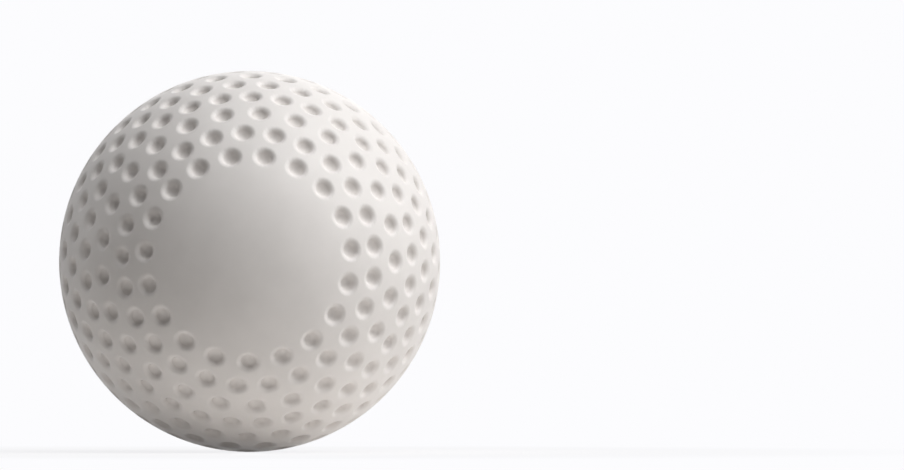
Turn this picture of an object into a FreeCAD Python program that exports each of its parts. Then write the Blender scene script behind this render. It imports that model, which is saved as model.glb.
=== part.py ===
import FreeCAD, Part
import math
import os

from FreeCAD import Vector
from Sketcher import Constraint

# A field hockey ball, moulded in one piece: a plain round panel at the front and
# one at the back, and rings of soft-lipped round pits from each panel to the
# plain land that carries the parting line. The origin is the ball's centre, +Z
# is up, and the front panel faces -Y.

# Driving sizes in millimetres.
sizes = {
    # Across the ball, over the lands between the pits.
    "ballDiameter": 73.0,
    # Straight across the plain panel, from pit mouth to pit mouth.
    "panelDiameter": 34.6,
    # Plain band at the parting line, between the last rings of the two halves.
    "partingLand": 2.0,
    # Narrowest land that may stay between two pits.
    "leastLand": 0.5,
    # Across one pit, where its lip runs out into the ball's surface.
    "pitMouth": 5.0,
    # From the ball's surface to the bottom of the pit, along the pit's axis.
    "pitDepth": 1.8,
    # Rounding of the lip.
    "lipRadius": 1.1,
    # How far the lip's arc would rise above the ball, so that it crosses the
    # surface at a shallow angle where it runs out.
    "lipOverrun": 0.005,
}

# Rings of pits from the panel outwards: how many pits, and how many degrees the
# first of them is turned from the top, clockwise as seen from the panel.
rings = [
    (19, 9.1),
    (25, 12.1),
    (25, 4.3),
    (33, 0.8),
    (33, 6.2),
    (33, 0.6),
    (33, 6.2),
]

# Values that follow from the sizes. Latitudes are counted from the parting
# plane. The first ring clears the panel, the last one clears the parting land,
# and as many rings as fit lie evenly between them.
formulas = {
    "ballRadius": "=ballDiameter / 2",
    "mouthAngle": "=asin(pitMouth / ballDiameter)",
    "firstLatitude": "=90 deg - asin(panelDiameter / ballDiameter) - mouthAngle",
    "lastLatitude": "=asin(partingLand / ballDiameter) + mouthAngle",
    "leastStep": "=2 * asin((pitMouth + leastLand) / ballDiameter)",
    "ringSteps": "=floor((firstLatitude - lastLatitude) / leastStep)",
    "latitudeStep": "=(firstLatitude - lastLatitude) / ringSteps",
}


def fillSheet(document):
    """Put the sizes, the rings and what follows from them into a spreadsheet."""
    sheet = document.addObject("Spreadsheet::Sheet", "Sizes")
    cells = {name: str(value) for name, value in sizes.items()}
    for number, (pits, turn) in enumerate(rings, 1):
        cells["pitsOfRing%d" % number] = str(pits)
        cells["turnOfRing%d" % number] = str(turn)
    cells.update(formulas)
    for row, (name, content) in enumerate(cells.items(), 1):
        sheet.set("A%d" % row, name)
        sheet.set("B%d" % row, content)
        sheet.setAlias("B%d" % row, name)
    document.recompute()
    return sheet


def originFeature(body, role):
    """Find one of the body's own origin planes or axes."""
    return next(item for item in body.Origin.OriginFeatures if item.Role == role)


def addSketch(body, name, plane):
    """Make an empty sketch on one of the body's origin planes."""
    sketch = body.newObject("Sketcher::SketchObject", name)
    sketch.AttachmentSupport = (originFeature(body, plane), [""])
    sketch.MapMode = "FlatFace"
    return sketch


def drive(sketch, name, constraint, formula):
    """Add a dimension to the sketch and bind it to the sheet."""
    index = sketch.addConstraint(constraint)
    sketch.renameConstraint(index, name)
    sketch.setExpression("Constraints." + name, formula)


# Vertices of a sketch's lines and arcs, and its own origin and axes.
start, end, centre = range(1, 4)
origin, levelAxis, uprightAxis = -1, -1, -2


def addFrontHalf(body, sheet):
    """Revolve half a disc, cut at the parting plane, through half a turn.

    The round face then has its seam and its poles on the parting plane, where no
    pit can meet them.
    """
    radius = sheet.ballRadius
    right = Vector(radius, 0, 0)
    left = Vector(-radius, 0, 0)
    sketch = addSketch(body, "HalfDisc", "XZ_Plane")
    rim = sketch.addGeometry(Part.ArcOfCircle(Part.Circle(Vector(0, 0, 0), Vector(0, 0, 1), radius), 0, math.pi))
    diameter = sketch.addGeometry(Part.LineSegment(left, right))
    sketch.addConstraint([
        Constraint("Coincident", rim, centre, origin, start),
        Constraint("PointOnObject", rim, start, levelAxis),
        Constraint("PointOnObject", rim, end, levelAxis),
        Constraint("Coincident", diameter, start, rim, end),
        Constraint("Coincident", diameter, end, rim, start),
    ])
    drive(sketch, "ballRadius", Constraint("Radius", rim, radius), "Sizes.ballRadius")
    half = body.newObject("PartDesign::Revolution", "FrontHalf")
    half.Profile = sketch
    half.ReferenceAxis = (sketch, ["H_Axis"])
    half.Angle = 180
    return half


def drawPitSection(sketch, sheet):
    """Draw half of a pit's section, with the pit's axis upright.

    The sketch's origin is the ball's centre. The bowl's arc starts at the bottom
    of the pit and passes into the lip's arc, which ends just above the ball's
    surface. Three lines outside the ball close the section.
    """
    radius = sheet.ballRadius
    halfMouth = sheet.pitMouth / 2
    runOut = radius + sheet.lipOverrun
    mouthHeight = math.sqrt(runOut ** 2 - halfMouth ** 2)
    lipCentre = Vector(halfMouth, mouthHeight, 0) * (1 - sheet.lipRadius / runOut)
    bottom = radius - sheet.pitDepth
    top = radius + sheet.pitDepth
    # The bowl's circle stands on the bottom and touches the lip's circle.
    rise = lipCentre.y - bottom
    bowlRadius = (lipCentre.x ** 2 + rise ** 2 - sheet.lipRadius ** 2) / (2 * (sheet.lipRadius + rise))
    bowlCentre = Vector(0, bottom + bowlRadius, 0)
    toLip = lipCentre - bowlCentre
    joint = math.atan2(toLip.y, toLip.x)
    runOutAngle = math.atan2(mouthHeight, halfMouth)
    facing = Vector(0, 0, 1)

    bowl = sketch.addGeometry(
        Part.ArcOfCircle(Part.Circle(bowlCentre, facing, bowlRadius), -math.pi / 2, joint))
    lip = sketch.addGeometry(
        Part.ArcOfCircle(Part.Circle(lipCentre, facing, sheet.lipRadius), runOutAngle, joint + math.pi))
    mouthPoint = Vector(halfMouth, mouthHeight, 0)
    side = sketch.addGeometry(Part.LineSegment(mouthPoint, Vector(halfMouth, top, 0)))
    lid = sketch.addGeometry(Part.LineSegment(Vector(halfMouth, top, 0), Vector(0, top, 0)))
    axis = sketch.addGeometry(Part.LineSegment(Vector(0, top, 0), Vector(0, bottom, 0)))
    ray = sketch.addGeometry(Part.LineSegment(Vector(0, 0, 0), mouthPoint), True)
    sketch.addConstraint([
        Constraint("PointOnObject", bowl, centre, uprightAxis),
        Constraint("PointOnObject", bowl, start, uprightAxis),
        Constraint("Tangent", bowl, end, lip, end),
        Constraint("Coincident", ray, start, origin, start),
        Constraint("Coincident", ray, end, lip, start),
        Constraint("PointOnObject", lip, centre, ray),
        Constraint("Coincident", side, start, lip, start),
        Constraint("Vertical", side),
        Constraint("Coincident", lid, start, side, end),
        Constraint("Horizontal", lid),
        Constraint("PointOnObject", lid, end, uprightAxis),
        Constraint("Coincident", axis, start, lid, end),
        Constraint("Coincident", axis, end, bowl, start),
    ])
    drive(sketch, "bottomHeight", Constraint("DistanceY", origin, start, bowl, start, bottom),
          "Sizes.ballRadius - Sizes.pitDepth")
    drive(sketch, "lidHeight", Constraint("DistanceY", origin, start, lid, end, top),
          "Sizes.ballRadius + Sizes.pitDepth")
    drive(sketch, "lipRadius", Constraint("Radius", lip, sheet.lipRadius), "Sizes.lipRadius")
    drive(sketch, "halfMouth", Constraint("DistanceX", origin, start, lip, start, halfMouth),
          "Sizes.pitMouth / 2")
    drive(sketch, "runOut", Constraint("Distance", ray, runOut), "Sizes.ballRadius + Sizes.lipOverrun")


def addRing(body, sheet, number):
    """Cut one ring of pits: groove the first pit, then pattern it round the panel's axis."""
    # Rings past the list's end repeat its last two in turn, so that they stay staggered.
    beyond = max(number - len(rings), 0)
    source = number if beyond == 0 else len(rings) - beyond % 2
    latitude = "(Sizes.firstLatitude - %d * Sizes.latitudeStep)" % (number - 1)
    sketch = addSketch(body, "PitSection%d" % number, "YZ_Plane")
    sketch.setExpression(
        "AttachmentOffset",
        "placement(vector(0; 0; 0); rotationx(Sizes.turnOfRing%d * 1 deg) * rotationz(%s))" % (source, latitude))
    drawPitSection(sketch, sheet)
    pit = body.newObject("PartDesign::Groove", "Pit%d" % number)
    pit.Profile = sketch
    pit.ReferenceAxis = (sketch, ["V_Axis"])
    pit.Angle = 360
    pit.Refine = False
    pattern = body.newObject("PartDesign::PolarPattern", "Ring%d" % number)
    pattern.Originals = [pit]
    pattern.Axis = (originFeature(body, "Y_Axis"), [""])
    pattern.Angle = 360
    # A smaller ball, or a wider pit, takes only as many pits as fit in the ring.
    pattern.setExpression(
        "Occurrences",
        "min(Sizes.pitsOfRing%d; floor(pi * Sizes.ballDiameter * cos%s / (Sizes.pitMouth + Sizes.leastLand)))"
        % (source, latitude))
    pattern.Refine = False
    body.Tip = pattern
    return pattern


def addBackHalf(body):
    """Mirror the whole front half across the parting plane."""
    mirrored = body.newObject("PartDesign::Mirrored", "BothHalves")
    mirrored.TransformMode = "Whole shape"
    mirrored.MirrorPlane = (originFeature(body, "XZ_Plane"), [""])
    mirrored.Refine = False
    body.Tip = mirrored
    return mirrored


document = FreeCAD.newDocument("HockeyBall")
sheet = fillSheet(document)
ball = document.addObject("PartDesign::Body", "Ball")
ball.Label = "ball"

half = addFrontHalf(ball, sheet)
document.recompute()
volume = half.Shape.Volume
print("half ball: %.1f mm3" % volume)

for number in range(1, int(sheet.ringSteps) + 2):
    ring = addRing(ball, sheet, number)
    document.recompute()
    removed = volume - ring.Shape.Volume
    if removed <= 0:
        raise RuntimeError("ring %d cut nothing" % number)
    volume = ring.Shape.Volume
    print("ring %d: %d pits, %.2f mm3 each" % (number, ring.Occurrences, removed / ring.Occurrences))

addBackHalf(ball)
document.recompute()
print("ball: %.1f mm3" % ball.Shape.Volume)

for item in document.Objects:
    if "Invalid" in item.State or "Error" in item.State:
        raise RuntimeError("%s failed: %s" % (item.Label, item.State))
if ball.Shape.isNull() or not ball.Shape.isValid() or len(ball.Shape.Solids) != 1:
    raise RuntimeError("the ball is not one valid solid")

os.makedirs("parts", exist_ok=True)
ball.Shape.exportStep("parts/%s.step" % ball.Label)
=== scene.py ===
import math

import bpy
import numpy as np
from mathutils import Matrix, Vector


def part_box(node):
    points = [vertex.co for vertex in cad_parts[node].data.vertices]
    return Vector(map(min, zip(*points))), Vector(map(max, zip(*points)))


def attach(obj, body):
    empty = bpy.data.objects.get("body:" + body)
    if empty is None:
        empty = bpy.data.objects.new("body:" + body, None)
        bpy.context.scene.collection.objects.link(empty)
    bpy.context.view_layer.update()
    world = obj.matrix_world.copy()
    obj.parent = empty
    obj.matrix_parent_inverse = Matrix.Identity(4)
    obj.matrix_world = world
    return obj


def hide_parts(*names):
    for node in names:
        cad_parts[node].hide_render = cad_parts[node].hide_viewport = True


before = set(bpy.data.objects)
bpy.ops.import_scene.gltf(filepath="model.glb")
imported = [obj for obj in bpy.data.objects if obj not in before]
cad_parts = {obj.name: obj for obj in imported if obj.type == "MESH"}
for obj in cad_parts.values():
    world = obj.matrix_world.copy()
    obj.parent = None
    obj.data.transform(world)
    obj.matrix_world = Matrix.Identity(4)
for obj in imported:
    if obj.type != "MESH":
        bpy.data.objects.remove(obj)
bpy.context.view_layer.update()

ballLow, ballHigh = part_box("ball")
print("stage: frame loaded")


# sRGB hex to linear: the lowest part is a straight line, the rest a power of 2.4
def hexToLinear(text):
    parts = np.array([int(text[i:i + 2], 16) for i in (0, 2, 4)]) / 255.0
    linear = np.where(parts <= 0.04045, parts / 12.92, ((parts + 0.055) / 1.055) ** 2.4)
    return tuple(float(part) for part in linear) + (1.0,)


# one node with its settings and its inputs; an input is a value or another node's output
def addNode(tree, kind, inputs=None, **settings):
    node = tree.nodes.new(kind)
    for name, value in settings.items():
        setattr(node, name, value)
    for name, value in (inputs or {}).items():
        socket = node.inputs[name]
        if isinstance(value, bpy.types.NodeSocket):
            tree.links.new(value, socket)
        else:
            socket.default_value = value
    return node


# an empty material and its node tree
def newMaterial(name):
    material = bpy.data.materials.new(name)
    material.use_nodes = True
    material.node_tree.nodes.clear()
    return material, material.node_tree


millimetresPerMetre = 1000.0
micrometresPerMetre = 1000000.0

# lengths in metres where their names don't say millimetres
pvc = {
    "baseHex": "F0ECE9",
    "cloudHex": "ECE8E5",
    "cloudMillimetres": 9.0,
    "cloudDetail": 3.0,
    "cloudRoughness": 0.55,
    "cloudRange": (0.35, 0.65),     # of the noise, from the base colour to the cloud colour
    "grainMillimetres": 0.35,       # the real grain is near 0.1 mm; drawn coarser so that it shows
    "grainDetail": 2.0,
    "grainRoughness": 0.6,
    "grainHeight": 0.000006,
    "roughness": 0.55,
    "roughnessSpread": 0.03,
    "roughnessRange": (0.3, 0.7),   # of the noise, from the smoothest to the roughest
    "ior": 1.52,
}


# PVC, moulded in two halves and satin from the mould: nearly white with a warm cast, so
# faintly clouded that it reads as one colour, with a fine pebble left by the blasted mould,
# which spreads the lamps' reflections into broad soft patches
def makeMouldedPvc():
    material, tree = newMaterial("mouldedPvc")
    place = addNode(tree, "ShaderNodeTexCoord").outputs["Object"]
    clouds = addNode(tree, "ShaderNodeTexNoise", {
        "Vector": place, "Scale": millimetresPerMetre / pvc["cloudMillimetres"],
        "Detail": pvc["cloudDetail"], "Roughness": pvc["cloudRoughness"]}).outputs["Fac"]
    spread = addNode(tree, "ShaderNodeMapRange", {
        "Value": clouds, "From Min": pvc["cloudRange"][0], "From Max": pvc["cloudRange"][1]})
    colour = addNode(tree, "ShaderNodeMix", {
        "Factor": spread.outputs["Result"],
        "A": hexToLinear(pvc["baseHex"]), "B": hexToLinear(pvc["cloudHex"])}, data_type="RGBA")
    grain = addNode(tree, "ShaderNodeTexNoise", {
        "Vector": place, "Scale": millimetresPerMetre / pvc["grainMillimetres"],
        "Detail": pvc["grainDetail"], "Roughness": pvc["grainRoughness"]}).outputs["Fac"]
    roughness = addNode(tree, "ShaderNodeMapRange", {
        "Value": clouds,
        "From Min": pvc["roughnessRange"][0], "From Max": pvc["roughnessRange"][1],
        "To Min": pvc["roughness"] - pvc["roughnessSpread"],
        "To Max": pvc["roughness"] + pvc["roughnessSpread"]})
    bump = addNode(tree, "ShaderNodeBump", {
        "Height": grain, "Distance": pvc["grainHeight"], "Strength": 1.0})
    shader = addNode(tree, "ShaderNodeBsdfPrincipled", {
        "Base Color": colour.outputs["Result"], "Roughness": roughness.outputs["Result"],
        "IOR": pvc["ior"], "Normal": bump.outputs["Normal"]})
    addNode(tree, "ShaderNodeOutputMaterial", {"Surface": shader.outputs["BSDF"]})
    return material


# the ball, in metres; the rings are counted from the panel outwards, each with its number
# of pits and the degrees its first pit is turned from the top
ball = {
    "rings": [(19, 9.1), (25, 12.1), (25, 4.3), (33, 0.8), (33, 6.2), (33, 0.6), (33, 6.2)],
    "panelDiameter": 0.0346,
    "partingLand": 0.002,
    "pitMouth": 0.005,
    "pitDepth": 0.0018,
    "lipRadius": 0.0011,
    "partingLineWidth": 0.00022,
    "partingLineDepth": 0.00002,
    "sidesPerPit": 16,        # a multiple of 8, so that a cell's corners are among its points
    "bowlSteps": 2,
    "lipSteps": 2,
    "panelSteps": 10,
    "cellShare": 0.96,        # of the rings' spacing; a strip of triangles fills the rest
}


# half of a pit's section: distance from the pit's axis, height from the ball's centre and
# slope. The bowl is an arc that stands on the pit's bottom, and the lip a smaller arc that
# touches the bowl at one end and the ball at the other
def pitProfile(radius):
    halfMouth = ball["pitMouth"] / 2
    lip = ball["lipRadius"]
    mouthAngle = math.asin(halfMouth / radius)
    lipAcross = (radius - lip) * math.sin(mouthAngle)
    lipUp = (radius - lip) * math.cos(mouthAngle)
    bottom = radius - ball["pitDepth"]
    rise = lipUp - bottom
    bowl = (lipAcross ** 2 + rise ** 2 - lip ** 2) / (2 * (lip + rise))
    jointAngle = math.atan2(lipAcross, bottom + bowl - lipUp)
    bowlAngles = np.linspace(0, jointAngle, ball["bowlSteps"] + 1)
    lipAngles = np.linspace(jointAngle, -mouthAngle, ball["lipSteps"] + 1)[1:]
    across = np.concatenate([bowl * np.sin(bowlAngles), lipAcross - lip * np.sin(lipAngles)])
    up = np.concatenate([
        bottom + bowl - bowl * np.cos(bowlAngles), lipUp + lip * np.cos(lipAngles)])
    return across, up, np.concatenate([bowlAngles, lipAngles])


# unit vectors from azimuth, counted clockwise from the top as seen from the panel, and
# latitude, counted from the parting plane towards the panel, both in radians
def direction(azimuth, latitude):
    azimuth, latitude = np.broadcast_arrays(azimuth, latitude)
    level = np.cos(latitude)
    return np.stack([level * np.sin(azimuth), -np.sin(latitude), level * np.cos(azimuth)], -1)


# azimuths of a ring's points where its cells meet the next piece of surface: a quarter of a
# pit's sides to each cell, evenly spaced from the first cell's left edge
def cellAzimuths(pits, turn):
    columns = pits * ball["sidesPerPit"] // 4
    return math.radians(turn) + (np.arange(columns) / columns * 2 - 1 / pits) * np.pi


# one ring of pits, each in a cell of its own: spokes go out from the pit's bottom, over the
# profile's steps, and end on the cell's border, which is square in azimuth and latitude.
# The first cell is worked out, and the others are it turned round the panel's axis
def ringOfPits(radius, latitude, halfBand, pits, turn, profile):
    across, up, slope = (values[1:] for values in profile)
    bottom = profile[1][0]
    sides = ball["sidesPerPit"]
    spoke = np.arange(sides) * 2 * np.pi / sides
    eighth = np.arange(sides) * 8 / sides
    squareAcross = np.clip(np.abs(eighth - 4) - 2, -1, 1)
    squareUp = np.clip(np.abs((eighth - 2) % 8 - 4) - 2, -1, 1)
    border = direction(squareAcross * np.pi / pits, latitude + squareUp * halfBand)

    axis = direction(np.zeros(1), np.full(1, latitude))[0]
    east = np.array([1.0, 0.0, 0.0])
    north = np.cross(east, axis)
    around = np.cos(spoke)[:, None] * east + np.sin(spoke)[:, None] * north
    rings = across[:, None, None] * around + up[:, None, None] * axis
    tilt = np.cos(slope)[:, None, None] * axis - np.sin(slope)[:, None, None] * around
    points = np.concatenate([[axis * bottom], rings.reshape(-1, 3), border * radius])
    normals = np.concatenate([[axis], tilt.reshape(-1, 3), border])

    turns = math.radians(turn) + np.arange(pits) * 2 * np.pi / pits
    spin = np.zeros((pits, 3, 3))
    spin[:, 0, 0] = spin[:, 2, 2] = np.cos(turns)
    spin[:, 0, 2] = np.sin(turns)
    spin[:, 2, 0] = -np.sin(turns)
    spin[:, 1, 1] = 1
    allPoints = np.einsum("nij,pj->npi", spin, points).reshape(-1, 3)
    allNormals = np.einsum("nij,pj->npi", spin, normals).reshape(-1, 3)

    here = np.arange(sides)
    after = (here + 1) % sides
    start = 1 + np.arange(len(across))[:, None] * sides
    nearSide, farSide = [start + here, start + after], [start + sides + after, start + sides + here]
    quads = np.stack(nearSide + farSide, -1).reshape(-1, 4)
    fans = np.stack([np.zeros_like(here), 1 + after, 1 + here], -1)
    offset = (np.arange(pits) * len(points))[:, None, None]
    # neighbours share a corner, so each cell gives only the one on its left
    borderStart = offset[:, 0] + 1 + len(across) * sides
    upper, lower = (
        (borderStart + np.flatnonzero((squareUp == edge) & (squareAcross < 1))).ravel()
        for edge in (1, -1))
    quads, fans = (quads + offset).reshape(-1, 4), (fans + offset).reshape(-1, 3)
    return allPoints, allNormals, quads, fans, upper, lower


# a band of the bare sphere: a grid of azimuths by latitudes, closed in azimuth
def bareBand(radius, azimuths, latitudes):
    normals = direction(azimuths[None, :], latitudes[:, None])
    count = len(azimuths)
    here = np.arange(count)
    after = (here + 1) % count
    row = np.arange(len(latitudes) - 1)[:, None] * count
    nextRow = row + count
    quads = np.stack([row + here, row + after, nextRow + after, nextRow + here], -1).reshape(-1, 4)
    return normals.reshape(-1, 3) * radius, normals.reshape(-1, 3), quads


# triangles between two closed rows of points at different azimuths: both rows are sorted
# into one, and each point makes a triangle with the point before it in its own row and the
# last point passed in the other row
def zipRows(points, rowA, rowB):
    azimuth = np.arctan2(points[:, 0], points[:, 2]) % (2 * np.pi)
    rowA, rowB = rowA[np.argsort(azimuth[rowA])], rowB[np.argsort(azimuth[rowB])]
    isA = np.arange(len(rowA) + len(rowB)) < len(rowA)
    isA = isA[np.argsort(azimuth[np.concatenate([rowA, rowB])], kind="stable")]
    passedA, passedB = np.cumsum(isA) - 1, np.cumsum(~isA) - 1
    nowA, nowB = rowA[passedA % len(rowA)], rowB[passedB % len(rowB)]
    beforeA, beforeB = rowA[(passedA - 1) % len(rowA)], rowB[(passedB - 1) % len(rowB)]
    return np.stack([nowA, nowB, np.where(isA, beforeA, beforeB)], -1)


# makes one point of all points whose places, rounded to a micrometre, are the same
def weld(points, normals, quads, triangles):
    places = np.round(points * micrometresPerMetre).astype(np.int64)
    _, first, number = np.unique(places, axis=0, return_index=True, return_inverse=True)
    number = number.ravel()
    return points[first], normals[first], number[quads], number[triangles]


# turns each face so that its front looks away from the ball's centre
def faceOutwards(points, faces):
    corner = points[faces]
    facing = np.cross(corner[:, 1] - corner[:, 0], corner[:, 2] - corner[:, 0])
    inward = np.einsum("ij,ij->i", facing, corner[:, 0]) < 0
    faces[inward] = faces[inward][:, ::-1]
    return faces


# the front half is the panel, the rings of pits and half of the parting land, each a set of
# points on from the last; the back half is the front half mirrored in the parting plane
def makeBall():
    radius = (ballHigh.y - ballLow.y) / 2
    mouthAngle = math.asin(ball["pitMouth"] / 2 / radius)
    firstLatitude = math.pi / 2 - math.asin(ball["panelDiameter"] / 2 / radius) - mouthAngle
    lastLatitude = math.asin(ball["partingLand"] / 2 / radius) + mouthAngle
    latitudes = np.linspace(firstLatitude, lastLatitude, len(ball["rings"]))
    halfBand = (latitudes[0] - latitudes[1]) / 2 * ball["cellShare"]
    profile = pitProfile(radius)

    allPoints, allNormals, allQuads, allTriangles, rims = [], [], [], [], []
    count = 0
    for (pits, turn), latitude in zip(ball["rings"], latitudes):
        points, normals, quads, fans, upper, lower = ringOfPits(
            radius, latitude, halfBand, pits, turn, profile)
        allPoints.append(points)
        allNormals.append(normals)
        allQuads.append(quads + count)
        allTriangles.append(fans + count)
        rims.append((upper + count, lower + count))
        count += len(points)

    # the panel: rows from the first ring up to the pole, and a fan that closes it
    azimuths = cellAzimuths(*ball["rings"][0])
    panelRows = np.linspace(latitudes[0] + halfBand, math.pi / 2, ball["panelSteps"] + 1)[:-1]
    points, normals, quads = bareBand(radius, azimuths, panelRows)
    allPoints += [points, [[0, -radius, 0]]]
    allNormals += [normals, [[0, -1, 0]]]
    allQuads.append(quads + count)
    count += len(points)
    lastRow = count - len(azimuths) + np.arange(len(azimuths))
    allTriangles.append(np.stack([lastRow, np.roll(lastRow, -1), np.full(len(lastRow), count)], -1))
    count += 1

    # half of the parting land, down to the middle of the faint line where the mould closed;
    # at the line's edge the normals lean half as much as its side does
    azimuths = cellAzimuths(*ball["rings"][-1])
    lineAngle = ball["partingLineWidth"] / 2 / radius
    lean = math.atan(ball["partingLineDepth"] / (ball["partingLineWidth"] / 2)) / 2
    landEdge = latitudes[-1] - halfBand
    landRows = np.array([landEdge, (landEdge + lineAngle) / 2, lineAngle, 0])
    points, _, quads = bareBand(radius, azimuths, landRows)
    normals = bareBand(radius, azimuths, landRows - [0, 0, lean, 0])[1]
    sunk = np.repeat([0, 0, 0, ball["partingLineDepth"]], len(azimuths))[:, None]
    allPoints.append(points * (1 - sunk / radius))
    allNormals.append(normals)
    allQuads.append(quads + count)

    points, normals = np.concatenate(allPoints), np.concatenate(allNormals)
    allTriangles += [
        zipRows(points, lower, upper) for (_, lower), (upper, _) in zip(rims, rims[1:])]
    quads, triangles = np.concatenate(allQuads), np.concatenate(allTriangles)

    flip = np.array([1, -1, 1])
    quads = np.concatenate([quads, quads + len(points)])
    triangles = np.concatenate([triangles, triangles + len(points)])
    points = np.concatenate([points, points * flip])
    normals = np.concatenate([normals, normals * flip])
    points, normals, quads, triangles = weld(points, normals, quads, triangles)
    quads, triangles = faceOutwards(points, quads), faceOutwards(points, triangles)

    mesh = bpy.data.meshes.new("dimpledBall")
    mesh.from_pydata(points.tolist(), [], quads.tolist() + triangles.tolist())
    mesh.polygons.foreach_set("use_smooth", np.ones(len(mesh.polygons), bool))
    mesh.normals_split_custom_set_from_vertices(normals.tolist())
    piece = bpy.data.objects.new("dimpledBall", mesh)
    bpy.context.scene.collection.objects.link(piece)
    return piece


# 1 for the kinds of ray that are named and 0 for all others: the largest of their flags
def seenRays(tree, *kinds):
    rays = addNode(tree, "ShaderNodeLightPath").outputs
    seen = rays[kinds[0]]
    for kind in kinds[1:]:
        larger = addNode(tree, "ShaderNodeMath", {0: seen, 1: rays[kind]}, operation="MAXIMUM")
        seen = larger.outputs[0]
    return seen


# the colour behind the ball, and the floor in metres
backgroundHex = "FCFCFE"
board = {
    "nearHex": "FCF9F6",
    "farHex": "9C9996",
    "radius": 2.5,
    "sides": 128,
    "glowNear": 0.85,         # share of the background's colour that the camera sees, at the ball
    "fadeStart": 0.04,        # metres from the ball's centre to where the white paint starts to
    "fadeEnd": 0.16,          # darken and that share to rise, and to where it is dark and 1
}


# painted board, a disc under the ball: matt, white beside the ball and greyer further out
# for the light, and for the camera partly in the background's own colour, so that the
# ball's shadow stays and fades outwards
def makeFloor():
    turn = np.arange(board["sides"]) * 2 * np.pi / board["sides"]
    rim = np.stack([np.cos(turn), np.sin(turn), 0 * turn], -1) * board["radius"]
    rim[:, 2] = ballLow.z
    mesh = bpy.data.meshes.new("floor")
    mesh.from_pydata(rim.tolist(), [], [list(range(len(rim)))])
    floor = bpy.data.objects.new("floor", mesh)
    bpy.context.scene.collection.objects.link(floor)

    material, tree = newMaterial("paintedBoard")
    place = addNode(tree, "ShaderNodeTexCoord").outputs["Object"]
    away = addNode(tree, "ShaderNodeVectorMath", {0: place}, operation="LENGTH").outputs["Value"]
    fade = addNode(tree, "ShaderNodeMapRange", {
        "Value": away, "From Min": board["fadeStart"], "From Max": board["fadeEnd"]},
        interpolation_type="SMOOTHSTEP").outputs["Result"]
    colour = addNode(tree, "ShaderNodeMix", {
        "Factor": fade, "A": hexToLinear(board["nearHex"]), "B": hexToLinear(board["farHex"])},
        data_type="RGBA").outputs["Result"]
    glowShare = addNode(tree, "ShaderNodeMapRange", {
        "Value": fade, "To Min": board["glowNear"]}).outputs["Result"]
    share = addNode(tree, "ShaderNodeMath", {
        0: glowShare, 1: seenRays(tree, "Is Camera Ray", "Is Glossy Ray")}, operation="MULTIPLY")
    paint = addNode(tree, "ShaderNodeBsdfDiffuse", {"Color": colour})
    glow = addNode(tree, "ShaderNodeEmission", {
        "Color": hexToLinear(backgroundHex), "Strength": 1.0})
    both = addNode(tree, "ShaderNodeMixShader", {
        0: share.outputs[0], 1: paint.outputs[0], 2: glow.outputs[0]})
    addNode(tree, "ShaderNodeOutputMaterial", {"Surface": both.outputs[0]})
    mesh.materials.append(material)


# black for the light and the background's colour for the camera and for reflections
def makeWorld():
    world = bpy.data.worlds.new("studio")
    world.use_nodes = True
    tree = world.node_tree
    tree.nodes.clear()
    pale = addNode(tree, "ShaderNodeBackground", {
        "Color": hexToLinear(backgroundHex),
        "Strength": seenRays(tree, "Is Camera Ray", "Is Glossy Ray", "Is Transmission Ray")})
    addNode(tree, "ShaderNodeOutputWorld", {"Surface": pale.outputs[0]})
    bpy.context.scene.world = world


# unit vector to where a lamp or the camera stands: round to the right from straight in
# front of the panel, and up from the level, both in radians
def standing(around, up):
    level = math.cos(up)
    return np.array([math.sin(around) * level, -math.cos(around) * level, math.sin(up)])


# round softboxes, each with the direction it stands in as degrees round to the right from
# straight in front of the panel and up from the level, its distance and width in metres, and
# its level: how bright a white card that faces it gets
lamps = {
    "rightSoftbox": {"round": 70, "up": 34, "distance": 0.9, "width": 0.8, "level": 0.55},
    "highSoftbox": {"round": 58, "up": 58, "distance": 0.9, "width": 0.8, "level": 0.23},
    "frontSoftbox": {"round": 14, "up": 75, "distance": 0.9, "width": 0.8, "level": 0.37},
    "rightSideLamp": {"round": 95, "up": 10, "distance": 0.9, "width": 0.3, "level": 0.13},
    "leftRimLamp": {"round": -115, "up": 10, "distance": 0.9, "width": 0.3, "level": 0.09},
    "backSoftbox": {"round": 180, "up": 30, "distance": 0.9, "width": 0.6, "level": 0.1},
}


# a lamp turned to the ball: its power is its level times pi squared times distance squared
def makeLamp(name, lamp):
    data = bpy.data.lights.new(name, "AREA")
    data.shape = "DISK"
    data.size = lamp["width"]
    data.energy = lamp["level"] * math.pi ** 2 * lamp["distance"] ** 2
    light = bpy.data.objects.new(name, data)
    around, up = math.radians(lamp["round"]), math.radians(lamp["up"])
    light.location = standing(around, up) * lamp["distance"]
    light.rotation_euler = (-light.location).to_track_quat("-Z", "Y").to_euler()
    light.visible_camera = False
    bpy.context.scene.collection.objects.link(light)


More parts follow.
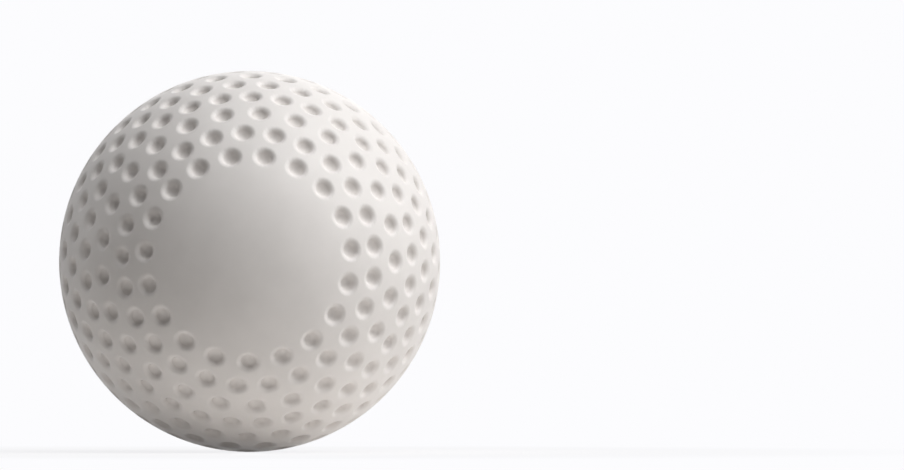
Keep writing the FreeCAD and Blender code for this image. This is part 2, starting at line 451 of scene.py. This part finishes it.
# the photograph's frame, with the ball's place and size in it
photo = {
    "widthPixels": 904,
    "heightPixels": 470,
    "ballAcross": 249.7,      # pixels from the left edge to the ball's centre
    "ballDown": 261.5,        # pixels from the top edge to the ball's centre
    "ballRadiusPixels": 190.5,
    "cameraDistance": 1.5,    # metres, a long lens as in a studio
    "cameraRound": 0.59,      # degrees that the camera stands off the panel's axis, to the right
    "cameraUp": -0.84,        # and up
    "sensorWidth": 36.0,      # millimetres
    "clipStart": 0.1,         # metres
    "clipEnd": 20.0,
}


# the camera stands almost straight in front of the panel. It faces the ball and is then
# turned a little away from it, so that the ball falls left of the frame's middle and below
# it, and its lens makes the ball's outline, a cone of asin(radius / distance), as wide as
# in the photograph
def makeCamera():
    radius = (ballHigh.z - ballLow.z) / 2
    distance = photo["cameraDistance"]
    pixelsPerTangent = photo["ballRadiusPixels"] / math.tan(math.asin(radius / distance))
    data = bpy.data.cameras.new("camera")
    data.sensor_width = photo["sensorWidth"]
    data.lens = pixelsPerTangent * photo["sensorWidth"] / photo["widthPixels"]
    data.clip_start = photo["clipStart"]
    data.clip_end = photo["clipEnd"]
    camera = bpy.data.objects.new("camera", data)
    around, up = math.radians(photo["cameraRound"]), math.radians(photo["cameraUp"])
    camera.location = standing(around, up) * distance
    yaw = math.atan((photo["widthPixels"] / 2 - photo["ballAcross"]) / pixelsPerTangent)
    pitch = math.atan((photo["ballDown"] - photo["heightPixels"] / 2) / pixelsPerTangent)
    camera.rotation_euler = (math.pi / 2 - up + pitch, 0, around - yaw)
    bpy.context.scene.collection.objects.link(camera)
    bpy.context.scene.camera = camera


makeCamera()
print("stage: camera set")

piece = makeBall()
piece.data.materials.append(makeMouldedPvc())
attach(piece, "root")
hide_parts("ball")
triangleCount = sum(len(polygon.vertices) - 2 for polygon in piece.data.polygons)
print("stage: ball made,", len(piece.data.vertices), "points,", triangleCount, "triangles")

makeFloor()
makeWorld()
for name, lamp in lamps.items():
    makeLamp(name, lamp)
bpy.context.scene.view_settings.view_transform = "Standard"
print("stage: floor, world and lamps set")
